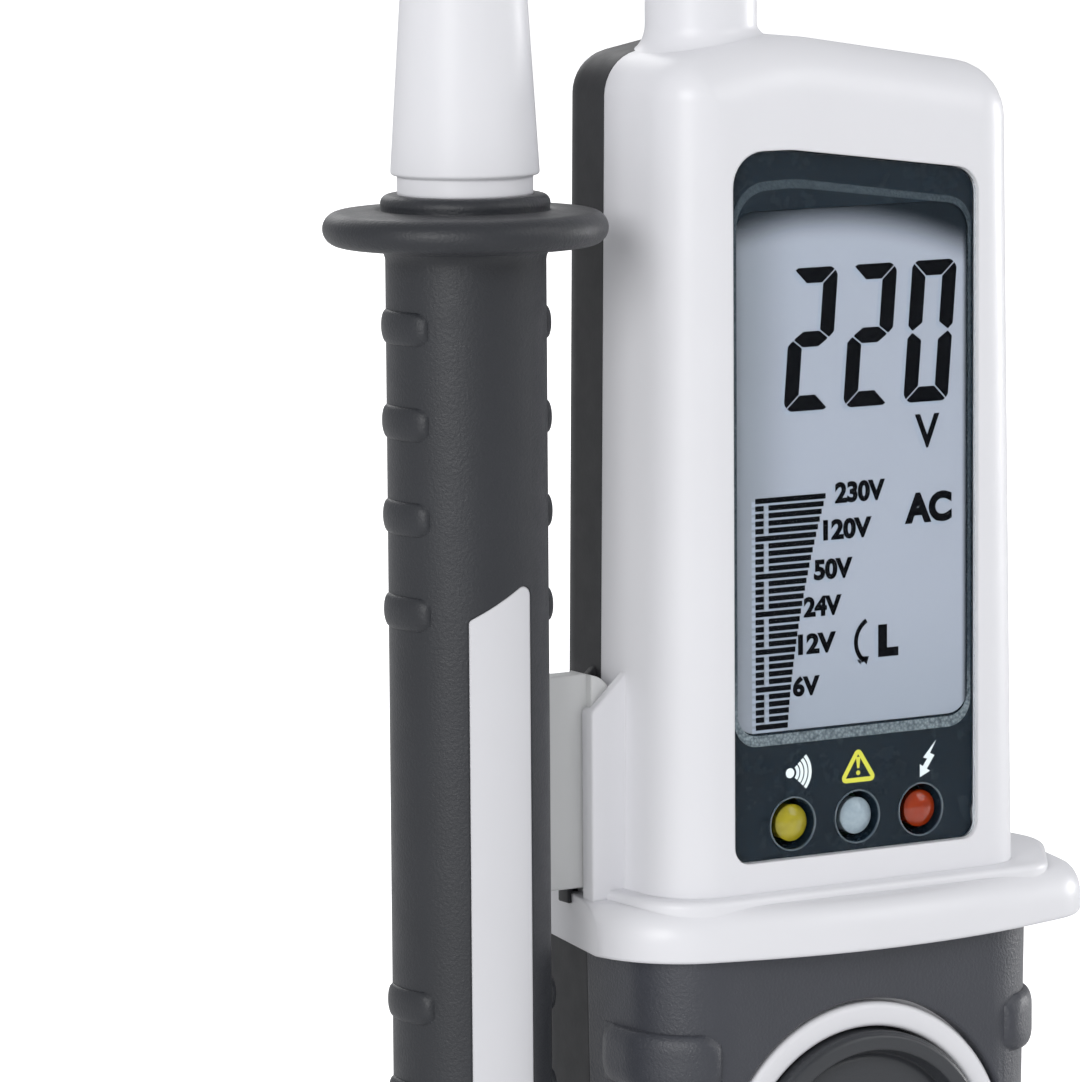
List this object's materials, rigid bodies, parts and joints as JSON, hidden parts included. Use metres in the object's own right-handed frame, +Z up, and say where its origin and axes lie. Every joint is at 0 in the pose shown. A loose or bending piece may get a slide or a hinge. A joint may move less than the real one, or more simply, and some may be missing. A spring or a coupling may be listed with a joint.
{
  "type": "two-pole voltage tester",
  "caption": "Two-pole voltage tester: a display head with flange, grip and test button, and a second probe docked at its side.",
  "frame": {"origin": "centre of the cable inlet's mouth in the foot of the main grip", "axes": "+X to the viewer's right as one reads the display, -Y out of the display, +Z up along the test tips"},
  "size_m": [0.086, 0.0346, 0.2692],
  "materials": {
    "abs_white": "satin moulded",
    "abs_dark": "matt moulded",
    "tpe_dark": "fine spark texture",
    "button_black": "satin moulded",
    "lens_clear": "polished",
    "bezel_black": "gloss",
    "lcd_grey": "display face",
    "lamp_yellow": "moulded diffuse",
    "lamp_clear": "moulded clear",
    "lamp_red": "moulded diffuse",
    "tip_steel": "nickel plated",
    "contact_brass": "stamped",
    "screw_steel": "zinc plated",
    "board_green": "solder mask",
    "cell_jacket": "printed jacket, bare",
    "key_grey": "satin moulded",
    "lead_red": "insulated wire"
  },
  "bodies": {
    "tester_body": {"front_shell": "abs_white", "rear_shell": "abs_dark", "grip_cover": "tpe_dark", "probe_neck": "abs_white", "main_tip": "tip_steel", "tip_contact": "contact_brass", "display_lens": "lens_clear", "display_bezel": "bezel_black", "lcd_panel": "lcd_grey", "backlight": "abs_white", "main_board": "board_green", "lamp_yellow": "lamp_yellow", "lamp_clear": "lamp_clear", "lamp_red": "lamp_red", "buzzer": "button_black", "switch_body": "button_black", "battery_tray": "abs_dark", "battery_cells": "cell_jacket", "battery_contacts": "contact_brass", "case_screws": "screw_steel", "cable_grommet": "button_black"},
    "test_button": {"push_button": "button_black", "switch_plunger": "abs_white"},
    "tip_cap_main": {"main_tip_cap": "abs_dark"},
    "rear_door": {"battery_door": "abs_dark"},
    "captive_screw": {"door_screw": "screw_steel"},
    "second_probe": {"probe_core": "abs_white", "probe_sleeve": "tpe_dark", "dock_key": "key_grey", "probe_nose": "abs_white", "probe_tip": "tip_steel", "probe_lead": "lead_red", "probe_grommet": "button_black"},
    "tip_cap_second": {"probe_tip_cap": "abs_dark"}
  },
  "joints": [
    {"name": "button_press", "type": "slide", "parent": "tester_body", "child": "test_button", "axis": [0, 1, 0], "range_m": [0, 0.0012], "stiffness_N_per_m": 600},
    {"name": "probe_undock", "type": "slide", "parent": "tester_body", "child": "second_probe", "axis": [0, 0, 1], "range_m": [0, 0.03]},
    {"name": "main_cap_pull", "type": "slide", "parent": "tester_body", "child": "tip_cap_main", "axis": [0, 0, 1], "range_m": [0, 0.02]},
    {"name": "second_cap_pull", "type": "slide", "parent": "second_probe", "child": "tip_cap_second", "axis": [0, 0, 1], "range_m": [0, 0.02]},
    {"name": "door_lift", "type": "slide", "parent": "tester_body", "child": "rear_door", "axis": [0, 1, 0], "range_m": [0, 0.02]},
    {"name": "door_screw_turn", "type": "hinge", "parent": "rear_door", "child": "captive_screw", "pos_m": [0, 0.012, 0.0738], "axis": [0, 1, 0], "continuous": true}
  ]
}
